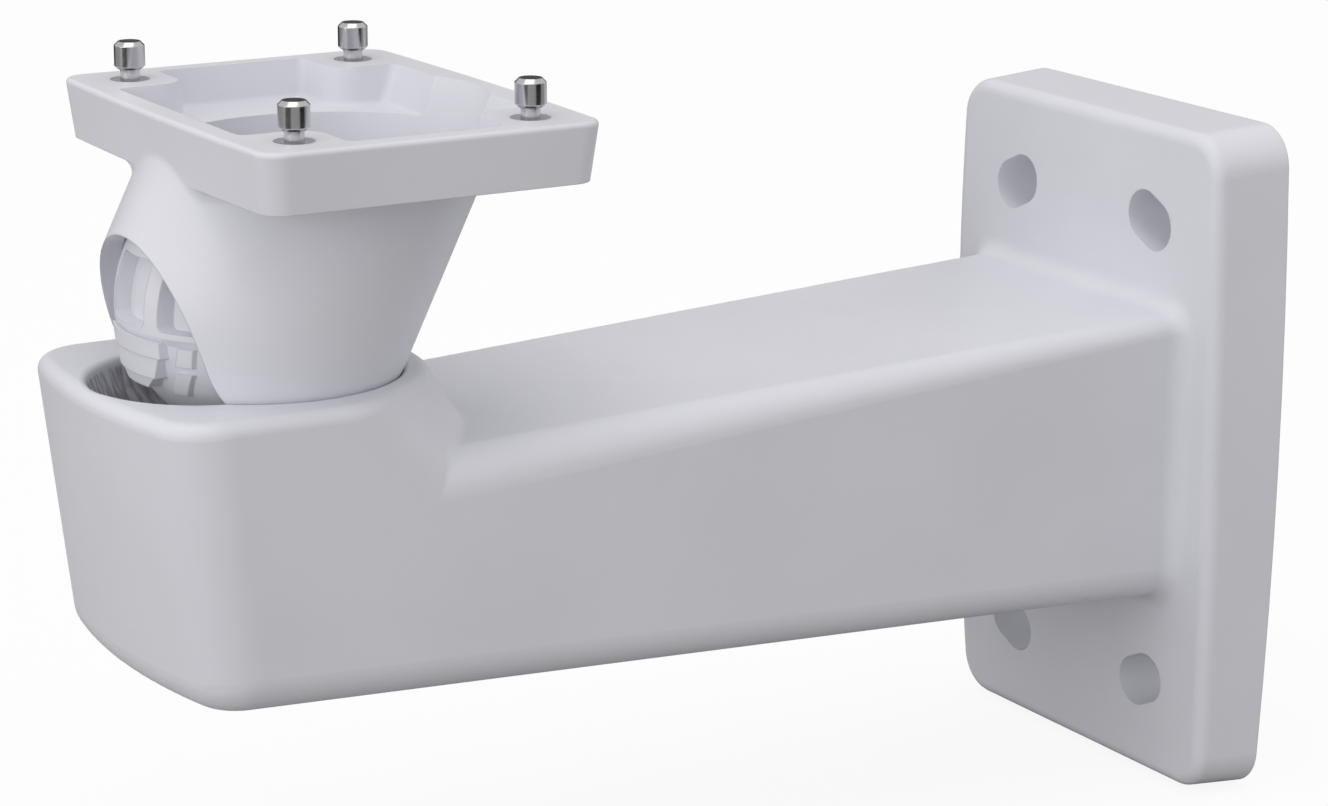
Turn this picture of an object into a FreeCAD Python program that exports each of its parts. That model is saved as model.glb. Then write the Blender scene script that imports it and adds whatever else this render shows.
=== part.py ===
import FreeCAD, Part
import math
import os

# Camera wall bracket with an integrated ball joint. All sizes in millimetres.
# The origin is the centre of the wall plate's back face. The arm runs along -X, +Z is up.

V = FreeCAD.Vector

# Wall plate
PLATE_HEIGHT = 150.0
PLATE_WIDTH_TOP = 95.5
PLATE_WIDTH_BOTTOM = 91.7
PLATE_SIDE_BULGE = 2.5
PLATE_THICK_TOP = 18.3
PLATE_THICK_BOTTOM = 15.2
PLATE_FACE_CROWN = 1.3
PLATE_EDGE_DRAFT = 1.2
PLATE_CORNER_R = 9.0
PLATE_EDGE_R = 2.9
PLATE_SKIN = 4.8
PLATE_RIM_WALL = 5.0

# Slots for the four wall screws, each turned to lie along the circle through all four
WALL_SLOT_SPACING_Y = 49.0
WALL_SLOT_SPACING_Z = 105.4
WALL_SLOT_WIDTH = 11.2
WALL_SLOT_TRAVEL = 4.2
WALL_SLOT_BOSS_WALL = 4.0

# Hollow arm
ARM_WIDTH = 76.0
ARM_SIDE_DRAFT = 1.6
ARM_ROOT_TOP = 34.3
ARM_ROOT_BOTTOM = -31.0
ARM_HEAD_TOP = 25.2
ARM_HEAD_BOTTOM = -21.2
ARM_TOP_EDGE_R_ROOT = 4.0
ARM_TOP_EDGE_R = 8.5
ARM_BOTTOM_EDGE_R = 8.0
ARM_ROOT_FILLET = 4.0
ARM_WALL = 4.5

# Head with the socket
BALL_REACH = 220.2
BALL_HEIGHT = 53.1
RIM_HEIGHT = 39.3
HEAD_NOSE_REACH = 38.4
HEAD_NOSE_SAGITTA = 5.5
HEAD_NOSE_DRAFT_DEG = 6.8
HEAD_CORNER_R = 12.0
COLLAR_R = 33.0
COLLAR_FLARE_DEG = 31.0
COLLAR_FLANK_DEG = 50.0
COLLAR_SIDE_R = 10.0
COLLAR_ROOT_FILLET = 2.0
RIM_EDGE_R = 2.8
LIP_EDGE_R = 1.2
RELIEF_R = 24.0
RELIEF_SET_FORWARD = 11.3
RELIEF_HEIGHT = 43.0
RELIEF_BLEND_R = 5.0
BOWL_WALL = 4.5
BOWL_WINDOW_WIDTH = 9.0
BOWL_WINDOW_LENGTH = 20.0
BOWL_WINDOW_OFFSET = 17.0
BOSS_R = 10.0

# Swivel neck: a leaning tube that ends in a spherical shell with a wide slot
NECK_R = 31.9
NECK_WALL = 3.6
NECK_LEAN_DEG = 26.4
NECK_BORE_LEAN_DEG = 24.5
NECK_SHOULDER_RISE = 4.0
NECK_SHOULDER_R = 3.0
NECK_FILLET = 2.5
SOCKET_CLEARANCE = 0.3
CLAMP_CLEARANCE = 0.3
SLOT_HALF_WIDTH = 22.6
SLOT_ARCH_DROP = 7.1
SLOT_END_SET_BACK = 5.0

# Camera plate on top of the neck
DECK_OFFSET = 2.246724
DECK_TOP = 92.0
DECK_THICK = 12.0
DECK_MARGIN_X = 11.0
DECK_MARGIN_Y = 10.7
DECK_DRAFT = 1.3
DECK_SIDE_BULGE = 1.0
DECK_CORNER_R = 5.0
DECK_EDGE_R = 0.9
DECK_RIM_WALL_FRONT = 4.2
DECK_RIM_WALL_BACK = 5.6
DECK_RIM_WALL_Y = 5.0
DECK_POCKET_DEPTH = 8.0
DECK_POCKET_DRAFT_DEG = 5.0
DECK_POCKET_BACK_DRAFT_DEG = 22.0
DECK_POCKET_FLOOR_R = 1.2
DECK_BOSS_REACH_X = 8.5
DECK_BOSS_REACH_Y = 9.5
DECK_BOSS_R = 6.0
DECK_POCKET_CORNER_R = 2.0

# Captive camera screws. Their spacing and the margins round them give the camera plate's size.
SCREW_SPACING_X = 50.0
SCREW_SPACING_Y = 76.2
SCREW_THREAD_D = 6.2
SCREW_THREAD_LENGTH = 5.6
SCREW_THREAD_STAND = 2.1
SCREW_CHAMFER = 1.0
SCREW_NECK_D = 3.9
SCREW_HEAD_D = 9.0
SCREW_HEAD_HEIGHT = 5.0
SCREW_KEY_FLATS = 5.0
SCREW_KEY_DEPTH = 2.5
SCREW_MOUTH_D = 7.9
SCREW_MOUTH_DEPTH = 1.2
SCREW_HOLE_D = 5.2
SCREW_HEAD_CLEARANCE = 0.6
SCREW_SEAT_WEB = 6.4

# Clamp cup inside the shell. Heights are from the ball's centre.
CLAMP_TOP = 14.0
CLAMP_WALL = 7.0
CLAMP_FLOOR = -14.0
CLAMP_BAND = -2.6
CLAMP_RECESS = 1.0
CLAMP_RECESS_SLOPE = 1.6
CLAMP_CABLE_OFFSET = 16.0
CLAMP_WINDOW_SILL = -1.4
CLAMP_WINDOW_TOP = 11.5
CLAMP_WINDOW_DEPTH = 3.2
CLAMP_WINDOW_HALF_WIDTH = 6.8
CLAMP_WEB_WIDTH = 3.6
CLAMP_WINDOW_SIDE_MARGIN = 9.0
CLAMP_WINDOW_R = 1.2

# The cup's key: each plate's radius and half width at its top and at its foot, and its height
KEY_TOP = -3.6
KEY_PLATES = (
    (28.3, 27.9, 11.1, 10.8, 3.3),
    (27.5, 27.1, 9.8, 8.2, 4.4),
    (26.7, 26.1, 7.3, 4.8, 2.3),
)

# Pads beside the key: corners as (distance to the side, height), from the ball's centre
PAD_PROUD = 0.8
PADS = (
    ((14.2, -4.3), (17.0, -4.3), (15.8, -8.2), (12.7, -8.2)),
    ((12.0, -9.7), (15.3, -9.7), (11.8, -14.6), (8.6, -14.6)),
)

# Clamp bolt and washers
BOLT_D = 10.0
BOLT_LENGTH = 40.0
BOLT_HOLE_CLEARANCE = 0.5
BOLT_HEAD_D = 16.0
BOLT_HEAD_HEIGHT = 10.0
BOLT_KEY_FLATS = 8.0
BOLT_KEY_DEPTH = 5.0
BOLT_EDGE = 0.8
BOLT_TIP_SPACE = 3.0
WASHER_D = 20.0
WASHER_THICK = 2.0
SPRING_WASHER_D = 17.0
SPRING_WASHER_THICK = 2.5
SPRING_WASHER_GAP = 2.0

# Worked out from the sizes above
BALL = V(-BALL_REACH, 0, BALL_HEIGHT)
LEAN = math.radians(NECK_LEAN_DEG)
NECK_AXIS = V(math.sin(LEAN), 0, math.cos(LEAN))
BORE_LEAN = math.radians(NECK_BORE_LEAN_DEG)
BORE_AXIS = V(math.sin(BORE_LEAN), 0, math.cos(BORE_LEAN))
SOCKET_R = NECK_R + SOCKET_CLEARANCE
NECK_BORE_R = NECK_R - NECK_WALL
CLAMP_R = NECK_BORE_R - CLAMP_CLEARANCE
DECK_LENGTH_X = SCREW_SPACING_X + 2 * DECK_MARGIN_X
DECK_LENGTH_Y = SCREW_SPACING_Y + 2 * DECK_MARGIN_Y
DECK_BOTTOM = DECK_TOP - DECK_THICK
NECK_SHOULDER = DECK_BOTTOM + NECK_SHOULDER_RISE
DECK_CENTRE_X = -BALL_REACH + (DECK_BOTTOM - BALL_HEIGHT) * math.tan(LEAN) + DECK_OFFSET
SOCKET_FLOOR = BALL_HEIGHT - SOCKET_R
RELIEF = V(-BALL_REACH - RELIEF_SET_FORWARD, 0, RELIEF_HEIGHT)
WALL_SLOT_TILT = math.atan2(WALL_SLOT_SPACING_Y, WALL_SLOT_SPACING_Z)
WASHER_SEAT = BALL_HEIGHT + CLAMP_FLOOR
BOLT_SEAT = WASHER_SEAT + WASHER_THICK + SPRING_WASHER_THICK
BOLT_TIP = BOLT_SEAT - BOLT_LENGTH
SCREW_SEAT = DECK_TOP - SCREW_SEAT_WEB


def box(x0, x1, y0, y1, z0, z1):
    return Part.makeBox(x1 - x0, y1 - y0, z1 - z0, V(x0, y0, z0))


def rod(radius, z0, z1, x=0.0, y=0.0):
    return Part.makeCylinder(radius, z1 - z0, V(x, y, z0), V(0, 0, 1))


def arc(a, b, c):
    return Part.Arc(a, b, c).toShape()


def line(a, b):
    return Part.LineSegment(a, b).toShape()


def polygon(points):
    return Part.Face(Part.makePolygon(points + points[:1]))


def edges_where(shape, test):
    return [edge for edge in shape.Edges if test(edge)]


def edge_mid(edge):
    first, last = edge.ParameterRange
    return edge.valueAt((first + last) / 2)


def export(shape, name):
    if len(shape.Solids) == 1 and shape.ShapeType != "Solid":
        shape = shape.Solids[0]
    shape.exportStep("parts/%s.step" % name)
    print(name, len(shape.Solids), shape.isValid(), round(shape.Volume / 1000.0, 2), "cm3")


def plate_outline(x, inset):
    half_h = PLATE_HEIGHT / 2 - inset
    half_top = PLATE_WIDTH_TOP / 2 - inset
    half_bottom = PLATE_WIDTH_BOTTOM / 2 - inset
    mid = (half_top + half_bottom) / 2 + PLATE_SIDE_BULGE
    top_l, top_r = V(x, half_top, half_h), V(x, -half_top, half_h)
    low_l, low_r = V(x, half_bottom, -half_h), V(x, -half_bottom, -half_h)
    return Part.Wire([
        line(top_l, top_r),
        arc(top_r, V(x, -mid, 0), low_r),
        line(low_r, low_l),
        arc(low_l, V(x, mid, 0), top_l),
    ])


def plate_face_drum():
    """A drum whose surface is the plate's leaning, slightly crowned front face."""
    top = V(-PLATE_THICK_TOP, 0, PLATE_HEIGHT / 2)
    low = V(-PLATE_THICK_BOTTOM, 0, -PLATE_HEIGHT / 2)
    mid = (top + low) * 0.5 + V(-PLATE_FACE_CROWN, 0, 0)
    circle = Part.Circle(top, mid, low)
    start = circle.Center - V(0, PLATE_WIDTH_TOP, 0)
    return Part.makeCylinder(circle.Radius, 2 * PLATE_WIDTH_TOP, start, V(0, 1, 0))


def plate_blank():
    deep = PLATE_THICK_TOP + 4
    draft = PLATE_EDGE_DRAFT * deep / PLATE_THICK_TOP
    blank = Part.makeLoft([plate_outline(0, 0), plate_outline(-deep, draft)], True, True)
    corners = edges_where(blank, lambda e: abs(e.BoundBox.XLength - deep) < 0.5)
    blank = blank.makeFillet(PLATE_CORNER_R, corners)
    blank = blank.common(plate_face_drum())
    front = edges_where(blank, lambda e: edge_mid(e).x < -PLATE_THICK_BOTTOM + 1.5
                        and e.BoundBox.XMax < -PLATE_THICK_BOTTOM + 2)
    return blank.makeFillet(PLATE_EDGE_R, front)


def arm_line(root, head, x):
    """Height at x of a straight edge that starts at the wall plate and passes under the ball."""
    start = -PLATE_THICK_TOP
    return root + (head - root) * (x - start) / (-BALL_REACH - start)


def nose_x(z):
    """The foremost point of the head at a height: the nose leans back going down."""
    return -BALL_REACH - HEAD_NOSE_REACH + (RIM_HEIGHT - z) * math.tan(math.radians(HEAD_NOSE_DRAFT_DEG))


def collar_r(z):
    return COLLAR_R + (RIM_HEIGHT - z) * math.tan(math.radians(COLLAR_FLARE_DEG))


def trim_sides(shape, inset=0.0):
    """Cut both sides to the arm's width, leaning in a little going down."""
    lean = math.degrees(math.atan(ARM_SIDE_DRAFT / (RIM_HEIGHT - ARM_HEAD_BOTTOM)))
    size = 2 * BALL_REACH
    for side in (-1, 1):
        block = Part.makeBox(2 * size, size, size, V(-1.5 * size, 0 if side > 0 else -size, -size / 2))
        block.rotate(V(0, 0, 0), V(1, 0, 0), -side * lean)
        block.translate(V(0, side * (ARM_WIDTH / 2 - inset), RIM_HEIGHT))
        shape = shape.cut(block)
    return shape


def arm_profile(x0, x1, inset=0.0):
    """The arm seen from the side, extruded wider than it is."""
    points = [
        V(x0, -ARM_WIDTH, arm_line(ARM_ROOT_BOTTOM, ARM_HEAD_BOTTOM, x0) + inset),
        V(x1, -ARM_WIDTH, arm_line(ARM_ROOT_BOTTOM, ARM_HEAD_BOTTOM, x1) + inset),
        V(x1, -ARM_WIDTH, arm_line(ARM_ROOT_TOP, ARM_HEAD_TOP, x1) - inset),
        V(x0, -ARM_WIDTH, arm_line(ARM_ROOT_TOP, ARM_HEAD_TOP, x0) - inset),
    ]
    return polygon(points).extrude(V(0, 2 * ARM_WIDTH, 0))


def arm_beam():
    """The arm from the wall plate to under the ball. Its top edges get softer on the way."""
    beam = trim_sides(arm_profile(-BALL_REACH - 5, -PLATE_THICK_BOTTOM / 2))
    for side in (-1, 1):
        top = edges_where(beam, lambda e: e.BoundBox.XLength > BALL_REACH / 2 and e.BoundBox.ZMin > 0
                          and abs(edge_mid(e).y - side * ARM_WIDTH / 2) < 1)
        ends = (ARM_TOP_EDGE_R_ROOT, ARM_TOP_EDGE_R)
        if top[0].firstVertex(True).X < top[0].lastVertex(True).X:
            ends = ends[::-1]
        beam = beam.makeFillet(ends[0], ends[1], top)
    return beam


def nose_outline(z, back, inset=0.0):
    """The bowed nose in plan at a height, drawn wider than the arm so that the sides can be cut."""
    half = ARM_WIDTH / 2
    nose = nose_x(z) + inset
    side_x = nose + HEAD_NOSE_SAGITTA
    front = Part.Circle(V(side_x, half, z), V(nose, 0, z), V(side_x, -half, z))
    wide = half + 2 * HEAD_NOSE_SAGITTA
    edge_x = front.Center.x - math.sqrt(front.Radius ** 2 - wide ** 2)
    return Part.Wire([
        arc(V(edge_x, wide, z), V(nose, 0, z), V(edge_x, -wide, z)),
        line(V(edge_x, -wide, z), V(back, -wide, z)),
        line(V(back, -wide, z), V(back, wide, z)),
        line(V(back, wide, z), V(edge_x, wide, z)),
    ])


def nose_block(z0, z1, inset=0.0, back=0.0):
    return Part.makeLoft([nose_outline(z0, -BALL_REACH + back, inset),
                          nose_outline(z1, -BALL_REACH + back, inset)], True, True)


def flank_outline(z):
    """Straight flanks that run from the round collar out past the arm's sides."""
    angle = math.radians(COLLAR_FLANK_DEG)
    x, y = collar_r(z) * math.cos(angle), collar_r(z) * math.sin(angle)
    run = (ARM_WIDTH / 2 + 4 - COLLAR_R * math.sin(angle)) / math.cos(angle)
    far_x, far_y = x - run * math.sin(angle), y + run * math.cos(angle)
    half = [(x, y), (far_x, far_y), (-2, far_y)]
    plan = half + [(px, -py) for px, py in reversed(half)]
    points = [V(-BALL_REACH + px, py, z) for px, py in plan]
    return Part.makePolygon(points + points[:1])


def head_block():
    """The nose and the flared collar round the socket, up to the rounded rim."""
    low = ARM_HEAD_TOP - ARM_TOP_EDGE_R - 2
    cone = Part.makeCone(collar_r(low), collar_r(RIM_HEIGHT), RIM_HEIGHT - low, V(-BALL_REACH, 0, low))
    wide = 2 * ARM_WIDTH
    cone = cone.common(box(-BALL_REACH - 1, 0, -wide, wide, -wide, wide))
    flanks = Part.makeLoft([flank_outline(low), flank_outline(RIM_HEIGHT)], True, True)
    nose = nose_block(ARM_ROOT_BOTTOM, RIM_HEIGHT)
    block = trim_sides(nose.fuse([cone, flanks]).removeSplitter()).removeSplitter()

    def corner(e):
        return (e.BoundBox.ZMax > RIM_HEIGHT - 0.1 and e.BoundBox.ZLength > 5
                and abs(abs(edge_mid(e).y) - ARM_WIDTH / 2) < 1.5)

    nose_corners = edges_where(block, lambda e: corner(e) and e.BoundBox.XMax < -BALL_REACH - NECK_R / 2)
    block = block.makeFillet(HEAD_CORNER_R, nose_corners)
    side_corners = edges_where(block, lambda e: corner(e) and e.BoundBox.XMin > -BALL_REACH)
    block = block.makeFillet(COLLAR_SIDE_R, side_corners)
    rim = edges_where(block, lambda e: e.BoundBox.ZMin > RIM_HEIGHT - 0.01)
    return block.makeFillet(RIM_EDGE_R, rim)


def under_trim():
    """What lies below the arm's rising underside."""
    x0, x1 = -BALL_REACH - 2 * HEAD_NOSE_REACH, -BALL_REACH + 2 * HEAD_NOSE_REACH
    depth = -2 * ARM_WIDTH
    points = [V(x0, -ARM_WIDTH, depth), V(x1, -ARM_WIDTH, depth),
              V(x1, -ARM_WIDTH, arm_line(ARM_ROOT_BOTTOM, ARM_HEAD_BOTTOM, x1)),
              V(x0, -ARM_WIDTH, arm_line(ARM_ROOT_BOTTOM, ARM_HEAD_BOTTOM, x0))]
    return polygon(points).extrude(V(0, 2 * ARM_WIDTH, 0))


def arm_and_head():
    body = arm_beam().fuse(head_block().cut(under_trim())).removeSplitter()
    low = edges_where(body, lambda e: abs(
        edge_mid(e).z - arm_line(ARM_ROOT_BOTTOM, ARM_HEAD_BOTTOM, edge_mid(e).x)) < 0.1
        and e.BoundBox.XMin < -PLATE_THICK_TOP)
    return body.makeFillet(ARM_BOTTOM_EDGE_R, low)


def duct():
    """The tapered space inside the arm, open at the wall."""
    space = trim_sides(arm_profile(-BALL_REACH - 2 * HEAD_NOSE_REACH, 10, ARM_WALL), ARM_WALL)
    long_edges = edges_where(space, lambda e: e.BoundBox.XLength > BALL_REACH / 2)
    space = space.makeFillet(ARM_BOTTOM_EDGE_R - ARM_WALL, long_edges)
    return space.common(nose_block(-ARM_WIDTH, ARM_WIDTH, ARM_WALL, 2 * BALL_REACH))


def wall_slot_centres():
    half_y, half_z = WALL_SLOT_SPACING_Y / 2, WALL_SLOT_SPACING_Z / 2
    return [(sy * half_y, sz * half_z) for sy in (-1, 1) for sz in (-1, 1)]


def wall_slot(y, z, grow, x0, x1):
    """A round-ended bar through the plate, lying along the circle through all four slots."""
    turn = math.copysign(WALL_SLOT_TILT, -y * z)
    along = V(0, math.cos(turn), math.sin(turn)) * (WALL_SLOT_TRAVEL / 2)
    radius = WALL_SLOT_WIDTH / 2 + grow
    centre = V(x0, y, z)
    side = V(0, -along.z, along.y).normalize() * radius
    first, last = centre - along, centre + along
    outward = V(along).normalize() * radius
    outline = Part.Wire([
        line(first + side, last + side),
        arc(last + side, last + outward, last - side),
        line(last - side, first - side),
        arc(first - side, first - outward, first + side),
    ])
    return Part.Face(outline).extrude(V(x1 - x0, 0, 0))


def plate_recess():
    """The hollow back of the wall plate, with walls left round the slots and the duct."""
    depth = PLATE_THICK_BOTTOM - PLATE_SKIN
    ends = [plate_outline(1, PLATE_RIM_WALL), plate_outline(-depth, PLATE_RIM_WALL)]
    inner = Part.makeLoft(ends, True, True)
    corners = edges_where(inner, lambda e: abs(e.BoundBox.XLength - depth - 1) < 0.1)
    inner = inner.makeFillet(PLATE_CORNER_R - PLATE_RIM_WALL / 2, corners)
    kept = [wall_slot(y, z, WALL_SLOT_BOSS_WALL, -depth - 1, 2) for y, z in wall_slot_centres()]
    ring = box(-depth - 1, 2, -ARM_WIDTH / 2, ARM_WIDTH / 2, ARM_ROOT_BOTTOM, ARM_ROOT_TOP)
    ring = ring.makeFillet(ARM_BOTTOM_EDGE_R, edges_where(ring, lambda e: e.BoundBox.XLength > depth))
    return inner.cut(kept + [ring])


def bowl():
    """The round socket, opened out at the front by a second, smaller hollow."""
    space = Part.makeSphere(SOCKET_R, BALL).fuse(Part.makeSphere(RELIEF_R, RELIEF)).removeSplitter()
    crease = edges_where(space, lambda e: e.BoundBox.YLength > RELIEF_R and e.BoundBox.XLength > 0.5
                         and abs((edge_mid(e) - RELIEF).Length - RELIEF_R) < 0.01
                         and abs((edge_mid(e) - BALL).Length - SOCKET_R) < 0.01)
    return space.makeFillet(RELIEF_BLEND_R, crease)


def socket_windows():
    """Two cable windows in the bowl's floor, beside the bolt boss."""
    half, wide = BOWL_WINDOW_LENGTH / 2, BOWL_WINDOW_WIDTH / 2
    windows = []
    for side in (-1, 1):
        y = side * BOWL_WINDOW_OFFSET
        window = box(-BALL_REACH - half, -BALL_REACH + half, y - wide, y + wide, 0, BALL_HEIGHT)
        upright = edges_where(window, lambda e: e.BoundBox.ZLength > BALL_HEIGHT - 1)
        windows.append(window.makeFillet(wide - 0.5, upright))
    return windows


def arm_casting():
    body = arm_and_head()
    body = body.fuse(plate_blank()).removeSplitter()
    root = edges_where(body, lambda e: e.BoundBox.XMax < -PLATE_THICK_BOTTOM + 1
                       and e.BoundBox.XMin > -PLATE_THICK_TOP - PLATE_FACE_CROWN
                       and max(abs(e.BoundBox.YMin), e.BoundBox.YMax) < ARM_WIDTH / 2 + 0.5
                       and e.BoundBox.ZMax < ARM_ROOT_TOP + 0.5 and e.BoundBox.ZMin > ARM_ROOT_BOTTOM - 0.5)
    body = body.makeFillet(ARM_ROOT_FILLET, root)
    collar_root = edges_where(body, lambda e: e.BoundBox.XMin > -BALL_REACH + 1
                              and e.BoundBox.XMax < -BALL_REACH + collar_r(ARM_HEAD_TOP) + 3
                              and e.BoundBox.ZMax < ARM_HEAD_TOP + 3)
    body = body.makeFillet(COLLAR_ROOT_FILLET, collar_root)

    body = body.cut(bowl())
    rim_front = nose_x(RIM_HEIGHT) + RIM_EDGE_R
    lip = edges_where(body, lambda e: abs(e.BoundBox.ZMin - RIM_HEIGHT) < 0.01
                      and abs(e.BoundBox.ZMax - RIM_HEIGHT) < 0.01
                      and e.BoundBox.YMax < SOCKET_R and e.BoundBox.XMin > rim_front + 0.1)
    body = body.makeFillet(LIP_EDGE_R, lip)

    space = duct()
    boss = rod(BOSS_R, -ARM_WIDTH, SOCKET_FLOOR + 2, BALL.x)
    kept = [Part.makeSphere(SOCKET_R + BOWL_WALL, BALL), Part.makeSphere(RELIEF_R + BOWL_WALL, RELIEF), boss]
    body = body.cut(space.cut(kept))
    body = body.cut(plate_recess())
    body = body.cut([wall_slot(y, z, 0, -PLATE_THICK_TOP - 5, 3) for y, z in wall_slot_centres()])
    body = body.cut(socket_windows())
    return body.cut(rod(BOLT_D / 2, BOLT_TIP - BOLT_TIP_SPACE, BALL_HEIGHT, BALL.x))


def deck_outline(z, inset):
    half_x = DECK_LENGTH_X / 2 - inset
    half_y = DECK_LENGTH_Y / 2 - inset
    x0, x1 = DECK_CENTRE_X - half_x, DECK_CENTRE_X + half_x
    return Part.Wire([
        arc(V(x0, half_y, z), V(x0 - DECK_SIDE_BULGE, 0, z), V(x0, -half_y, z)),
        line(V(x0, -half_y, z), V(x1, -half_y, z)),
        arc(V(x1, -half_y, z), V(x1 + DECK_SIDE_BULGE, 0, z), V(x1, half_y, z)),
        line(V(x1, half_y, z), V(x0, half_y, z)),
    ])


def deck_block():
    block = Part.makeLoft([deck_outline(DECK_TOP, 0), deck_outline(DECK_BOTTOM, DECK_DRAFT)], True, True)
    upright = edges_where(block, lambda e: e.BoundBox.ZLength > DECK_THICK - 0.1)
    return block.makeFillet(DECK_CORNER_R, upright)


def pocket_outline(z):
    """A cross-shaped outline that leaves a boss in each corner for a screw."""
    depth = DECK_TOP - z
    inset = depth * math.tan(math.radians(DECK_POCKET_DRAFT_DEG))
    back = DECK_LENGTH_X / 2 - DECK_RIM_WALL_BACK - depth * math.tan(math.radians(DECK_POCKET_BACK_DRAFT_DEG))
    front = DECK_LENGTH_X / 2 - DECK_RIM_WALL_FRONT - inset
    far_y = DECK_LENGTH_Y / 2 - DECK_RIM_WALL_Y - inset
    boss_x = SCREW_SPACING_X / 2 - DECK_BOSS_REACH_X - inset
    boss_y = SCREW_SPACING_Y / 2 - DECK_BOSS_REACH_Y - inset
    half = [(back, boss_y), (boss_x, boss_y), (boss_x, far_y),
            (-boss_x, far_y), (-boss_x, boss_y), (-front, boss_y)]
    outline = half + [(x, -y) for x, y in reversed(half)]
    points = [V(DECK_CENTRE_X + x, y, z) for x, y in outline]
    return Part.makePolygon(points + points[:1])


def deck_pocket():
    """The open space in the camera plate, with upright corners rounded before the floor."""
    floor = DECK_TOP - DECK_POCKET_DEPTH
    space = Part.makeLoft([pocket_outline(floor), pocket_outline(DECK_TOP + 2)], True, True)

    def at_boss(e):
        across = abs(edge_mid(e).x - DECK_CENTRE_X) < SCREW_SPACING_X / 2 - DECK_BOSS_REACH_X + 1
        along = abs(edge_mid(e).y) < SCREW_SPACING_Y / 2 - DECK_BOSS_REACH_Y + 1
        return e.BoundBox.ZLength > DECK_POCKET_DEPTH and across and along

    wall = edges_where(space, lambda e: e.BoundBox.ZLength > DECK_POCKET_DEPTH and not at_boss(e))
    space = space.makeFillet(DECK_POCKET_CORNER_R, wall)
    space = space.makeFillet(DECK_BOSS_R, edges_where(space, at_boss))
    low = edges_where(space, lambda e: e.BoundBox.ZMax < floor + 0.1)
    return space.makeFillet(DECK_POCKET_FLOOR_R, low)


def neck_stem():
    """The leaning tube's outer form, round at the ball and stopped inside the camera plate."""
    top = Part.makeCylinder(NECK_R, 2 * DECK_TOP, BALL, NECK_AXIS)
    stem = top.fuse(Part.makeSphere(NECK_R, BALL))
    reach = 3 * NECK_R
    stem = stem.common(box(BALL.x - reach, BALL.x + reach, -reach, reach,
                           BALL.z - reach, NECK_SHOULDER)).removeSplitter()
    shoulder = edges_where(stem, lambda e: e.BoundBox.ZMin > NECK_SHOULDER - 0.1)
    return stem.makeFillet(NECK_SHOULDER_R, shoulder)


def arch_slot():
    """The wide slot in the shell: a round arch in front that runs under the ball."""
    arch_z = BALL.z - SLOT_ARCH_DROP
    front = BALL.x - 2 * NECK_R
    end = BALL.x - SLOT_END_SET_BACK
    low = BALL.z - 2 * NECK_R
    arch = Part.makeCylinder(SLOT_HALF_WIDTH, end - front, V(front, 0, arch_z), V(1, 0, 0))
    legs = box(front, end, -SLOT_HALF_WIDTH, SLOT_HALF_WIDTH, low, arch_z)
    return arch.fuse([legs, rod(SLOT_HALF_WIDTH, low, arch_z, end)])


def screw_places():
    half_x, half_y = SCREW_SPACING_X / 2, SCREW_SPACING_Y / 2
    return [(DECK_CENTRE_X + sx * half_x, sy * half_y) for sx, sy in ((-1, -1), (1, -1), (1, 1), (-1, 1))]


def swivel_neck():
    body = deck_block().fuse(neck_stem()).removeSplitter()
    side = DECK_LENGTH_X / 2 - 2 * DECK_DRAFT
    under = edges_where(body, lambda e: e.BoundBox.ZMax < DECK_BOTTOM + 0.01
                        and abs((edge_mid(e) - BALL).cross(NECK_AXIS).Length - NECK_R) < 0.2)
    bulge = edges_where(body, lambda e: DECK_BOTTOM + 0.5 < e.BoundBox.ZMax < NECK_SHOULDER
                        and abs(edge_mid(e).x - DECK_CENTRE_X) > side and abs(edge_mid(e).y) < NECK_R)
    body = body.makeFillet(NECK_FILLET, under + bulge)
    rim = edges_where(body, lambda e: e.BoundBox.ZMin > DECK_TOP - 0.01)
    body = body.makeFillet(DECK_EDGE_R, rim)
    bore = Part.makeSphere(NECK_BORE_R, BALL).fuse(
        Part.makeCylinder(NECK_BORE_R, 2 * DECK_TOP, BALL, BORE_AXIS))
    body = body.cut([deck_pocket(), bore, arch_slot()])
    for x, y in screw_places():
        body = body.cut([
            rod(SCREW_MOUTH_D / 2, DECK_TOP - SCREW_MOUTH_DEPTH, DECK_TOP + 1, x, y),
            rod(SCREW_HOLE_D / 2, DECK_BOTTOM - 1, DECK_TOP + 1, x, y),
            rod(SCREW_HEAD_D / 2 + SCREW_HEAD_CLEARANCE, DECK_BOTTOM - 1, SCREW_SEAT, x, y),
        ])
    return body


def front_wall(r_in, r_out, outline):
    """The front of a spherical wall inside an outline of (distance to the side, height)."""
    far = BALL.x - 2 * r_out
    bar = polygon([V(far, y, BALL.z + z) for y, z in outline]).extrude(V(2 * r_out, 0, 0))
    return Part.makeSphere(r_out, BALL).cut(Part.makeSphere(r_in, BALL)).common(bar)


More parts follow.
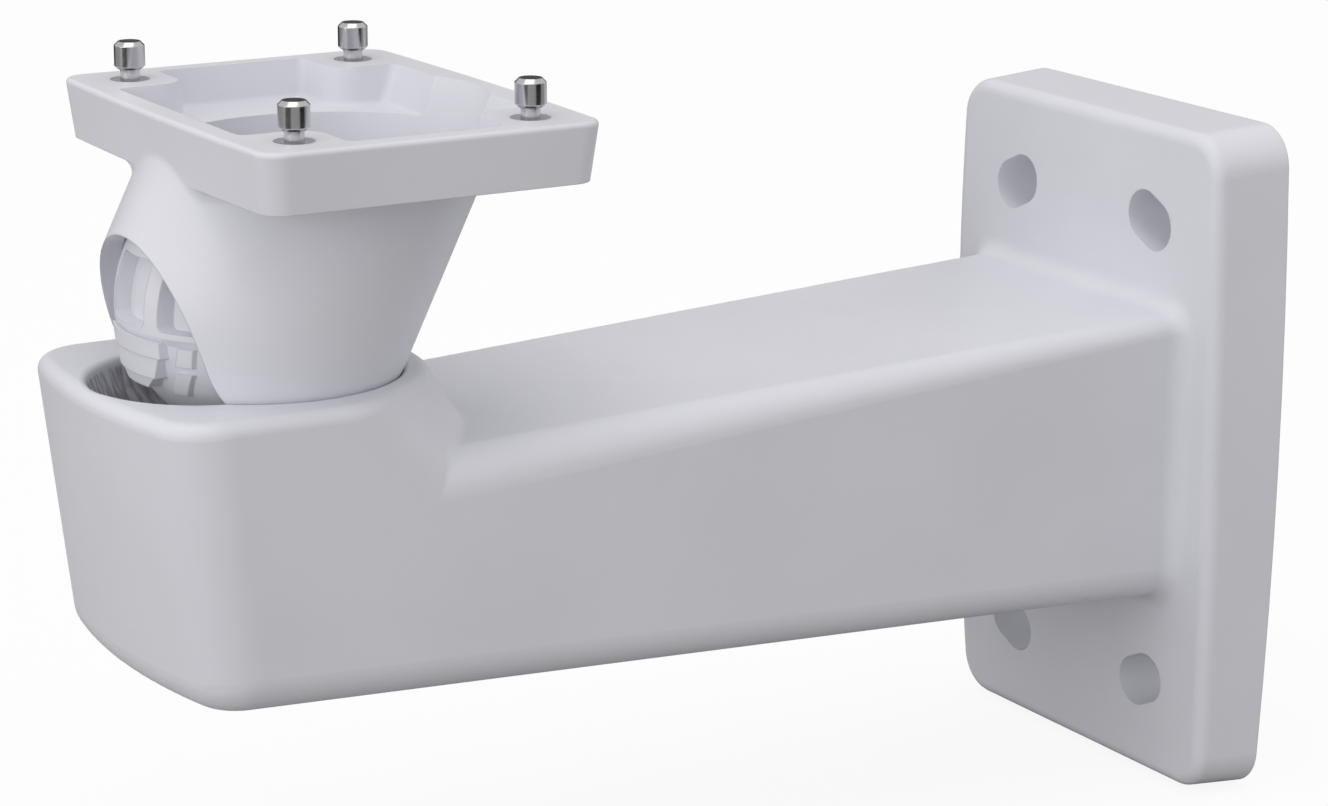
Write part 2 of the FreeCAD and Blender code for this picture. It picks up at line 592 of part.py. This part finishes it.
def clamp_body():
    """The cup: a ball cut open at the top, stepped in a little below its band."""
    outer, base = CLAMP_R, CLAMP_R - CLAMP_RECESS
    inner = CLAMP_R - CLAMP_WALL
    hole = BOLT_D / 2 + BOLT_HOLE_CLEARANCE

    def at(radius, z):
        return V(math.sqrt(radius ** 2 - z ** 2), 0, z)

    recess = CLAMP_BAND - CLAMP_RECESS_SLOPE
    low = V(hole, 0, -math.sqrt(base ** 2 - hole ** 2))
    floor_edge = at(inner, CLAMP_FLOOR)
    section = Part.Face(Part.Wire([
        arc(low, at(base, (low.z + recess) / 2), at(base, recess)),
        line(at(base, recess), at(outer, CLAMP_BAND)),
        arc(at(outer, CLAMP_BAND), at(outer, (CLAMP_BAND + CLAMP_TOP) / 2), at(outer, CLAMP_TOP)),
        line(at(outer, CLAMP_TOP), at(inner, CLAMP_TOP)),
        arc(at(inner, CLAMP_TOP), at(inner, 0), floor_edge),
        line(floor_edge, V(hole, 0, CLAMP_FLOOR)),
        line(V(hole, 0, CLAMP_FLOOR), low),
    ]))
    cup = section.revolve(V(0, 0, 0), V(0, 0, 1), 360)
    cup.translate(BALL)
    return cup


def clamp_windows():
    """Three shallow windows in the front wall, with upright webs between them."""
    half = CLAMP_WINDOW_HALF_WIDTH
    start = half + CLAMP_WEB_WIDTH
    end = CLAMP_R - CLAMP_WINDOW_SIDE_MARGIN
    windows = []
    for first, last in ((-half, half), (start, end), (-end, -start)):
        outline = [(first, CLAMP_WINDOW_SILL), (last, CLAMP_WINDOW_SILL),
                   (last, CLAMP_WINDOW_TOP), (first, CLAMP_WINDOW_TOP)]
        window = front_wall(CLAMP_R - CLAMP_WINDOW_DEPTH, CLAMP_R + 3, outline)
        corners = edges_where(window, lambda e: e.Curve.TypeId == "Part::GeomLine")
        windows.append(window.makeFillet(CLAMP_WINDOW_R, corners))
    return windows


def clamp_key():
    """Three stepped plates that stand proud in the slot and narrow going down."""
    far = BALL.x - 2 * CLAMP_R
    top = BALL.z + KEY_TOP
    plates = []
    for top_r, foot_r, top_half, foot_half, height in KEY_PLATES:
        foot = top - height
        cone = Part.makeCone(foot_r, top_r, height, V(BALL.x, 0, foot))
        shield = polygon([V(far, top_half, top), V(far, -top_half, top),
                          V(far, -foot_half, foot), V(far, foot_half, foot)])
        plates.append(cone.common(shield.extrude(V(2 * CLAMP_R, 0, 0))))
        top = foot
    key = plates[0].fuse(plates[1:])
    return key.cut(Part.makeSphere(CLAMP_R - CLAMP_WALL / 2, BALL))


def clamp_pads():
    base = CLAMP_R - CLAMP_RECESS
    pads = []
    for corners in PADS:
        for side in (-1, 1):
            outline = [(side * y, z) for y, z in corners]
            pads.append(front_wall(CLAMP_R - CLAMP_WALL / 2, base + PAD_PROUD, outline))
    return pads


def clamp_cup():
    cup = clamp_body().fuse([clamp_key()] + clamp_pads()).removeSplitter()
    cup = cup.cut(clamp_windows())
    half, wide = BOWL_WINDOW_LENGTH / 2, BOWL_WINDOW_WIDTH / 2
    low, high = BALL.z - 2 * CLAMP_R, BALL.z + CLAMP_BAND
    for side in (-1, 1):
        y = side * CLAMP_CABLE_OFFSET
        hole = box(BALL.x - half, BALL.x + half, y - wide, y + wide, low, high)
        upright = edges_where(hole, lambda e: e.BoundBox.ZLength > CLAMP_R)
        cup = cup.cut(hole.makeFillet(wide - 0.5, upright))
    return cup


def hexagon(flats, z0, z1, x, y):
    corner = flats / math.sqrt(3)
    points = [V(x + corner * math.cos(math.radians(60 * i)), y + corner * math.sin(math.radians(60 * i)), z0)
              for i in range(6)]
    return polygon(points).extrude(V(0, 0, z1 - z0))


def clamp_bolt():
    """Socket head cap screw, standing on the washers and screwed into the arm's boss."""
    top = BOLT_SEAT + BOLT_HEAD_HEIGHT
    head = rod(BOLT_HEAD_D / 2, BOLT_SEAT, top, BALL.x)
    head = head.makeChamfer(BOLT_EDGE, edges_where(head, lambda e: e.BoundBox.ZMin > top - 0.01))
    shank = rod(BOLT_D / 2, BOLT_TIP, BOLT_SEAT + 1, BALL.x)
    shank = shank.makeChamfer(BOLT_EDGE, edges_where(shank, lambda e: e.BoundBox.ZMax < BOLT_TIP + 0.01))
    key_hole = hexagon(BOLT_KEY_FLATS, top - BOLT_KEY_DEPTH, top + 1, BALL.x, 0)
    return head.fuse(shank).cut(key_hole).removeSplitter()


def clamp_washer():
    ring = rod(WASHER_D / 2, WASHER_SEAT, WASHER_SEAT + WASHER_THICK, BALL.x)
    return ring.cut(rod(BOLT_D / 2 + BOLT_HOLE_CLEARANCE, 0, 2 * BALL.z, BALL.x))


def spring_washer():
    z0 = WASHER_SEAT + WASHER_THICK
    ring = rod(SPRING_WASHER_D / 2, z0, z0 + SPRING_WASHER_THICK, BALL.x)
    ring = ring.cut(rod(BOLT_D / 2 + BOLT_HOLE_CLEARANCE, 0, 2 * BALL.z, BALL.x))
    half = SPRING_WASHER_GAP / 2
    return ring.cut(box(BALL.x, BALL.x + SPRING_WASHER_D, -half, half, z0 - 1, z0 + SPRING_WASHER_THICK + 1))


def captive_screw(x, y):
    """A screw with a thin neck, so that it hangs in its hole, and a short thread above the plate."""
    thread_low = DECK_TOP + SCREW_THREAD_STAND
    thread_top = thread_low + SCREW_THREAD_LENGTH
    thread = rod(SCREW_THREAD_D / 2, thread_low, thread_top, x, y)
    thread = thread.makeChamfer(SCREW_CHAMFER, edges_where(thread, lambda e: e.BoundBox.ZLength < 0.01))
    neck = rod(SCREW_NECK_D / 2, SCREW_SEAT - 1, thread_low + 1, x, y)
    head = rod(SCREW_HEAD_D / 2, SCREW_SEAT - SCREW_HEAD_HEIGHT, SCREW_SEAT, x, y)
    head = head.cut(hexagon(SCREW_KEY_FLATS, SCREW_SEAT - SCREW_HEAD_HEIGHT - 1,
                            SCREW_SEAT - SCREW_HEAD_HEIGHT + SCREW_KEY_DEPTH, x, y))
    return head.fuse([neck, thread]).removeSplitter()


def main():
    os.makedirs("parts", exist_ok=True)
    export(arm_casting(), "arm_casting")
    export(swivel_neck(), "swivel_neck")
    export(clamp_cup(), "clamp_cup")
    export(clamp_bolt(), "clamp_bolt")
    export(clamp_washer(), "clamp_washer")
    export(spring_washer(), "spring_washer")
    for number, (x, y) in enumerate(screw_places(), 1):
        export(captive_screw(x, y), "captive_screw_%d" % number)


if __name__ == "__main__":
    main()
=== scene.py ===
import math

import bpy
from mathutils import Matrix, Vector


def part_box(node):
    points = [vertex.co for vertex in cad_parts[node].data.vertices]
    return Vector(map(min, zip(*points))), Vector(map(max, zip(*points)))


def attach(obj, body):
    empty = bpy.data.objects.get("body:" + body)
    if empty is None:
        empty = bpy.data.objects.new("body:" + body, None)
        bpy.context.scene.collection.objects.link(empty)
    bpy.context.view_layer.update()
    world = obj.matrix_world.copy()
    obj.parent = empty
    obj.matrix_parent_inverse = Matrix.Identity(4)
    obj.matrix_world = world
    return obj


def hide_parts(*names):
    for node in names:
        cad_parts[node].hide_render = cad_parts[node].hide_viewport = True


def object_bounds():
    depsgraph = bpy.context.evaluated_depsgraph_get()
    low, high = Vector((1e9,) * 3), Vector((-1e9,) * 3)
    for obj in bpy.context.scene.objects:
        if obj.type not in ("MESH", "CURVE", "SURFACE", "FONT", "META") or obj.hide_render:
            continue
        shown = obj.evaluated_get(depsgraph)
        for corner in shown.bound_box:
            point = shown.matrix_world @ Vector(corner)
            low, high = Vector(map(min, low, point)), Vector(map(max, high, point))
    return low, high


# Camera wall bracket: the finishes, the screws' soft edges, the studio and the view.
# Sizes of the bracket are in millimetres and turned into metres with MM. The studio is in metres.

MM = 0.001

# Round socket in the arm's head, and the smaller hollow at its front
BALL = (-220.2, 0.0, 53.1)
SOCKET_R = 32.2
FRONT_HOLLOW = (-231.5, 0.0, 43.0)
FRONT_HOLLOW_R = 24.0
RIM_HEIGHT = 39.3

# The painted shade in the socket, with its streaks, fades out behind the bowl's face, from the
# first depth to the second, and under the rim in the same way.
SOCKET_SHADE_DEPTHS = (0.4, 1.2)
SOCKET_SHADE_BELOW_RIM = (2.4, 1.0)

# Captive screws
BARREL_R = 3.1
BARREL_STAND = 2.1
BARREL_LENGTH = 5.6
TIP_CHAMFER = 0.8
FOOT_CHAMFER = 0.6
NECK_R = 1.95
HEAD_R = 4.5
HEAD_HEIGHT = 5.0
HEAD_EDGE = 0.4
KEY_FLATS = 5.0
KEY_DEPTH = 2.5
EDGE_ROUND = 0.07
SCREW_STEPS = 72
SCREW_COUNT = 4

# Edges sharper than these angles stay sharp in the shading
CASTING_SHARP_DEG = 24
SCREW_SHARP_DEG = 12

# Colours of the finishes and of the painted shade in the socket, from dark to light
COAT = ((0.755, 0.757, 0.808, 1), (0.795, 0.797, 0.850, 1))
SOCKET_SHADE_STREAKS = ((0.34, 0.34, 0.36, 1), (0.70, 0.70, 0.74, 1))
# Dark painted shade for the socket's bowl, with streaks between the two tones
STAINLESS = ((0.56, 0.55, 0.56, 1), (0.72, 0.71, 0.72, 1))
ZINC = ((0.42, 0.43, 0.45, 1), (0.60, 0.61, 0.64, 1))

# View of the photograph
IMAGE_WIDTH = 1328
FOCAL_PIXELS = 3927.15
SENSOR_WIDTH = 36.0
VIEW_AZIMUTH = -30.91
VIEW_ELEVATION = 14.61
VIEW_ROLL = 0.36
VIEW_PLACE = (-538.55, -688.06, 228.97)

# Studio. Each lamp: the way to it from the bracket, its size and its power.
WORLD_LIGHT = 0.70
LAMP_DISTANCE = 2.4
LAMPS = {
    "left_lamp": ((-0.95, -0.30, 0.06), 1.8, 23.0),
    "top_lamp": ((-0.15, -0.10, 1.00), 1.8, 11.7),
}
WHITE = (1, 1, 1, 1)
FLOOR_REACH = 8.0
FLOOR_PAINT = (0.36, 0.36, 0.36, 1)
FLOOR_WHITE = (0.98, 0.98, 0.98, 1)
FLOOR_GLOW = 0.9

# Dark cards that only the bright steel mirrors: centre, and width with height
SCREWS_MIDDLE = (-0.205, 0.0, 0.095)
CARD_BLACK = (0.02, 0.02, 0.02, 1)
DARK_CARDS = (
    ((-0.65, -0.22, 0.07), (0.34, 0.28)),
    ((0.05, -0.43, 0.07), (0.34, 0.28)),
    ((-0.29, 0.49, 0.07), (0.30, 0.28)),
    ((0.22, 0.86, 0.33), (1.20, 0.30)),
)

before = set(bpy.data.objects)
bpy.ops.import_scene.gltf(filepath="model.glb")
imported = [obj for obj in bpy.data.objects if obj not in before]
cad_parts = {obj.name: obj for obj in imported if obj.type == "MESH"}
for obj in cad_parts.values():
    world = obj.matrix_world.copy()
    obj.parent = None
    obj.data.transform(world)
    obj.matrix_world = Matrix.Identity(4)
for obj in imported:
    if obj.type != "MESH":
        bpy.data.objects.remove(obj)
cad_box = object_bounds()


class Wire:
    """One output in a shader tree, so that shader maths reads as plain expressions."""

    def __init__(self, shop, socket):
        self.shop = shop
        self.socket = socket

    def maths(self, operation, first, second):
        return self.shop.node("Math", {"operation": operation}, {0: first, 1: second})

    def __add__(self, other):
        return self.maths("ADD", self, other)

    def __radd__(self, other):
        return self.maths("ADD", other, self)

    def __sub__(self, other):
        return self.maths("SUBTRACT", self, other)

    def __rsub__(self, other):
        return self.maths("SUBTRACT", other, self)

    def __mul__(self, other):
        return self.maths("MULTIPLY", self, other)

    def __rmul__(self, other):
        return self.maths("MULTIPLY", other, self)

    def ease(self, low, high):
        """0 below low, 1 above high, and a soft step between."""
        return self.shop.node("MapRange", {"interpolation_type": "SMOOTHSTEP"},
                              {"Value": self, "From Min": low, "From Max": high})


class Shop:
    """Builds the nodes of one material or of the world."""

    def __init__(self, owner):
        owner.use_nodes = True
        self.tree = owner.node_tree
        self.tree.nodes.clear()

    def node(self, kind, settings=None, sockets=None, output=0):
        made = self.tree.nodes.new("ShaderNode" + kind)
        for key, value in (settings or {}).items():
            setattr(made, key, value)
        for key, value in (sockets or {}).items():
            if isinstance(value, Wire):
                self.tree.links.new(value.socket, made.inputs[key])
            else:
                made.inputs[key].default_value = value
        return Wire(self, made.outputs[output]) if made.outputs else None

    def noise(self, place, scale, detail=2.0):
        return self.node("TexNoise", None, {"Vector": place, "Scale": scale, "Detail": detail})

    def blend(self, factor, first, second):
        """Mixes two colours."""
        return self.node("Mix", {"data_type": "RGBA"}, {0: factor, 6: first, 7: second}, 2)

    def coords(self):
        return self.node("TexCoord", None, None, "Object")

    def apart(self, place):
        """The three numbers of a place."""
        return [self.node("SeparateXYZ", None, {"Vector": place}, axis) for axis in "XYZ"]

    def behind(self, place, centre, radius):
        """0 up to a ball's face, and 1 from a little way outside it."""
        middle = [part * MM for part in centre]
        reach = self.node("VectorMath", {"operation": "DISTANCE"}, {0: place, 1: middle}, "Value")
        near, far = SOCKET_SHADE_DEPTHS
        return reach.ease((radius + near) * MM, (radius + far) * MM)

    def bumped(self, height, strength, depth, edge):
        """A normal with a fine relief and edges rounded by the given radius."""
        rounded = self.node("Bevel", {"samples": 4}, {"Radius": edge * MM})
        return self.node("Bump", None, {"Height": height, "Strength": strength,
                                        "Distance": depth * MM, "Normal": rounded})

    def surface(self, **sockets):
        shader = self.node("BsdfPrincipled", None, {k.replace("_", " "): v for k, v in sockets.items()})
        self.node("OutputMaterial", None, {"Surface": shader})


def finish(name):
    material = bpy.data.materials.new(name)
    return material, Shop(material)


def powder_coat(name, socket=False):
    """Light grey-white powder coat: a fine, even orange-peel with a soft sheen.

    With a socket, the bowl inside is painted darker as shade, with streaks running down its face."""
    material, shop = finish(name)
    place = shop.coords()
    peel = shop.noise(place, 620.0, 2.0)
    grain = shop.noise(place, 2400.0, 1.0)
    patch = shop.noise(place, 22.0, 3.0)
    tone = shop.blend(patch.ease(0.3, 0.7) * 0.8 + grain * 0.2, *COAT)
    rough = 0.38 + 0.10 * grain
    if socket:
        bowl_shade, streaks = socket_shade_and_streaks(shop, place)
        # Paints shade into the bowl's face below the rim, mixed with the streaks
        tone = shop.blend(bowl_shade, tone, shop.blend(streaks, *SOCKET_SHADE_STREAKS))
        rough = rough + bowl_shade * 0.12
    shop.surface(Base_Color=tone, Roughness=rough, IOR=1.5,
                 Normal=shop.bumped(peel * 0.75 + grain * 0.25, 0.10, 0.25, 0.35))
    return material


def socket_shade_and_streaks(shop, place):
    """Where the bowl's round face is painted darker as shade, and the streaks that run down it."""
    ball = shop.behind(place, BALL, SOCKET_R)
    hollow = shop.behind(place, FRONT_HOLLOW, FRONT_HOLLOW_R)
    x, y, z = shop.apart(place)
    low, high = (RIM_HEIGHT - below for below in SOCKET_SHADE_BELOW_RIM)
    above = z.ease(low * MM, high * MM)
    turn = shop.node("Math", {"operation": "ARCTAN2"}, {0: y - BALL[1] * MM, 1: x - BALL[0] * MM})
    streaks = shop.noise(shop.node("CombineXYZ", None, {"X": turn, "Y": z * 9.0}), 26.0, 4.0)
    return (1.0 - ball * hollow) * (1.0 - above), streaks.ease(0.32, 0.68)


def turned_stainless():
    """Stainless steel with fine marks left by turning round the screw's axis."""
    material, shop = finish("turned_stainless")
    place = shop.coords()
    x, y, z = shop.apart(place)
    radius = shop.node("Math", {"operation": "SQRT"}, {0: x * x + y * y})
    rings = shop.noise(shop.node("CombineXYZ", None, {"X": radius, "Y": z}), 5200.0, 2.0)
    smudge = shop.noise(place, 420.0, 2.0)
    shop.surface(Base_Color=shop.blend(rings, *STAINLESS), Metallic=1.0,
                 Roughness=0.12 + 0.10 * smudge + 0.05 * rings,
                 Normal=shop.bumped(rings, 0.12, 0.02, 0.05))
    return material


def plated_steel():
    """Dull zinc-plated steel of the clamp bolt and its washers."""
    material, shop = finish("plated_steel")
    place = shop.coords()
    bloom = shop.noise(place, 260.0, 4.0)
    grain = shop.noise(place, 1900.0, 2.0)
    shop.surface(Base_Color=shop.blend(bloom.ease(0.35, 0.65), *ZINC), Metallic=1.0,
                 Roughness=0.34 + 0.14 * grain, Normal=shop.bumped(grain, 0.15, 0.04, 0.2))
    return material


def round_ring(radius):
    return [radius] * SCREW_STEPS


def hexagon_ring(flats):
    """The radius of a hexagon at each step round the circle."""
    radii = []
    for step in range(SCREW_STEPS):
        turn = math.radians(360.0 * step / SCREW_STEPS) % math.radians(60)
        radii.append(flats / 2 / math.cos(turn - math.radians(30)))
    return radii


def turned_mesh(name, rings):
    """A closed mesh through rings of (height, radii), from the lowest inside to the top."""
    verts = []
    for height, radii in rings:
        for step, radius in enumerate(radii):
            turn = 2 * math.pi * step / SCREW_STEPS
            verts.append((radius * math.cos(turn) * MM, radius * math.sin(turn) * MM, height * MM))
    faces = [list(range(SCREW_STEPS))[::-1]]
    for row in range(len(rings) - 1):
        low, high = row * SCREW_STEPS, (row + 1) * SCREW_STEPS
        for step in range(SCREW_STEPS):
            after = (step + 1) % SCREW_STEPS
            faces.append((low + step, low + after, high + after, high + step))
    faces.append([len(verts) - SCREW_STEPS + step for step in range(SCREW_STEPS)])
    mesh = bpy.data.meshes.new(name)
    mesh.from_pydata(verts, [], faces)
    mesh.update()
    return mesh


def captive_screw_mesh(seat):
    """The whole screw, with heights from the camera plate's top face."""
    low = seat - HEAD_HEIGHT
    foot, top = BARREL_STAND, BARREL_STAND + BARREL_LENGTH
    key = hexagon_ring(KEY_FLATS)
    soft = EDGE_ROUND
    profile = [
        (low, HEAD_R - HEAD_EDGE), (low + HEAD_EDGE, HEAD_R),
        (seat - HEAD_EDGE, HEAD_R), (seat, HEAD_R - HEAD_EDGE),
        (seat, NECK_R), (foot, NECK_R),
        (foot, BARREL_R - FOOT_CHAMFER), (foot + FOOT_CHAMFER - soft, BARREL_R - soft),
        (foot + FOOT_CHAMFER + soft, BARREL_R),
        (top - TIP_CHAMFER - soft, BARREL_R), (top - TIP_CHAMFER, BARREL_R - soft / 4),
        (top - TIP_CHAMFER + soft, BARREL_R - soft), (top, BARREL_R - TIP_CHAMFER),
    ]
    rings = [(low + KEY_DEPTH, key), (low, key)]
    rings += [(height, round_ring(radius)) for height, radius in profile]
    return turned_mesh("captive_screw", rings)


def captive_screws(steel):
    """Screws with soft edges in place of the sharp ones."""
    for number in range(1, SCREW_COUNT + 1):
        node = "captive_screw_%d" % number
        lowest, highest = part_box(node)
        plate_top = highest.z / MM - BARREL_STAND - BARREL_LENGTH
        seat = lowest.z / MM + HEAD_HEIGHT - plate_top
        screw = bpy.data.objects.new("turned_screw_%d" % number, captive_screw_mesh(seat))
        bpy.context.scene.collection.objects.link(screw)
        screw.location = ((lowest.x + highest.x) / 2, (lowest.y + highest.y) / 2, plate_top * MM)
        screw.data.materials.append(steel)
        for face in screw.data.polygons:
            face.use_smooth = len(face.vertices) == 4
        screw.data.set_sharp_from_angle(angle=math.radians(SCREW_SHARP_DEG))
        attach(screw, "swivel")
        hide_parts(node)


def dress(arm_coat_socket_shade, coat, steel):
    """Gives the cast pieces their coat and the clamp's fasteners their plating."""
    finishes = {"arm_casting": arm_coat_socket_shade, "swivel_neck": coat, "clamp_cup": coat,
                "clamp_bolt": steel, "clamp_washer": steel, "spring_washer": steel}
    for node, material in finishes.items():
        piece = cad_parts[node]
        piece.data.materials.clear()
        piece.data.materials.append(material)
        for face in piece.data.polygons:
            face.use_smooth = True
        piece.data.set_sharp_from_angle(angle=math.radians(CASTING_SHARP_DEG))


def seen(shop):
    """1 for rays straight from the camera, which show the background white, and 0 for the rest."""
    return shop.node("LightPath", None, None, "Is Camera Ray")


def studio_world():
    world = bpy.data.worlds.new("studio")
    bpy.context.scene.world = world
    shop = Shop(world)
    strength = seen(shop) * (1.0 - WORLD_LIGHT) + WORLD_LIGHT
    light = shop.node("Background", None, {"Color": WHITE, "Strength": strength})
    shop.node("OutputWorld", None, {"Surface": light})


def studio_floor():
    """A plain pale floor that shows white and still takes the bracket's shadow."""
    lowest = cad_box[0].z
    sides = ((-1, -1), (1, -1), (1, 1), (-1, 1))
    corners = [(x * FLOOR_REACH, y * FLOOR_REACH, lowest) for x, y in sides]
    mesh = bpy.data.meshes.new("floor")
    mesh.from_pydata(corners, [], [(0, 1, 2, 3)])
    floor = bpy.data.objects.new("floor", mesh)
    bpy.context.scene.collection.objects.link(floor)
    material, shop = finish("pale_floor")
    white = seen(shop)
    paint = shop.node("BsdfDiffuse", None, {"Color": shop.blend(white, FLOOR_PAINT, FLOOR_WHITE)})
    glow = shop.node("Emission", None, {"Color": WHITE, "Strength": 1.0})
    mixed = shop.node("MixShader", None, {0: white * FLOOR_GLOW, 1: paint, 2: glow})
    shop.node("OutputMaterial", None, {"Surface": mixed})
    mesh.materials.append(material)


def soft_lamps():
    middle = (cad_box[0] + cad_box[1]) / 2
    for name, (way, size, watts) in LAMPS.items():
        lamp = bpy.data.lights.new(name, "AREA")
        lamp.shape = "SQUARE"
        lamp.size = size
        lamp.energy = watts
        stand = bpy.data.objects.new(name, lamp)
        bpy.context.scene.collection.objects.link(stand)
        away = Vector(way).normalized()
        stand.location = middle + away * LAMP_DISTANCE
        stand.rotation_mode = "QUATERNION"
        stand.rotation_quaternion = away.to_track_quat("Z", "Y")


def dark_cards():
    """Upright cards that give the steel its dark bands. Nothing but a mirror ray meets them."""
    material, shop = finish("dark_card")
    black = shop.node("BsdfDiffuse", None, {"Color": CARD_BLACK})
    shop.node("OutputMaterial", None, {"Surface": black})
    for number, (centre, (width, height)) in enumerate(DARK_CARDS, 1):
        across, up = width / 2, height / 2
        corners = [(-across, 0, -up), (across, 0, -up), (across, 0, up), (-across, 0, up)]
        mesh = bpy.data.meshes.new("dark_card")
        mesh.from_pydata(corners, [], [(0, 1, 2, 3)])
        mesh.materials.append(material)
        card = bpy.data.objects.new("dark_card_%d" % number, mesh)
        bpy.context.scene.collection.objects.link(card)
        card.location = centre
        way = Vector(SCREWS_MIDDLE) - Vector(centre)
        card.rotation_euler = (0, 0, math.atan2(-way.x, way.y))
        card.visible_camera = False
        card.visible_diffuse = False
        card.visible_shadow = False


def photograph_camera():
    """The camera that took the photograph, from its measured place, direction and lens."""
    a, e, r = (math.radians(v) for v in (VIEW_AZIMUTH, VIEW_ELEVATION, VIEW_ROLL))
    back = Vector((math.sin(a) * math.cos(e), -math.cos(a) * math.cos(e), math.sin(e)))
    level = Vector((math.cos(a), math.sin(a), 0))
    rise = back.cross(level)
    right = level * math.cos(r) + rise * math.sin(r)
    up = rise * math.cos(r) - level * math.sin(r)
    data = bpy.data.cameras.new("view")
    data.sensor_width = SENSOR_WIDTH
    data.lens = FOCAL_PIXELS * SENSOR_WIDTH / IMAGE_WIDTH
    data.clip_start = 0.05
    data.clip_end = 50.0
    camera = bpy.data.objects.new("view", data)
    bpy.context.scene.collection.objects.link(camera)
    turn = Matrix((right, up, back)).transposed().to_4x4()
    camera.matrix_world = Matrix.Translation(Vector(VIEW_PLACE) * MM) @ turn
    bpy.context.scene.camera = camera


# The arm's coat carries painted shade, with streaks, in its socket's bowl
dress(powder_coat("arm_coat_socket_shade", socket=True), powder_coat("powder_coat"), plated_steel())
captive_screws(turned_stainless())
studio_world()
studio_floor()
soft_lamps()
dark_cards()
photograph_camera()
bpy.context.scene.view_settings.view_transform = "Standard"
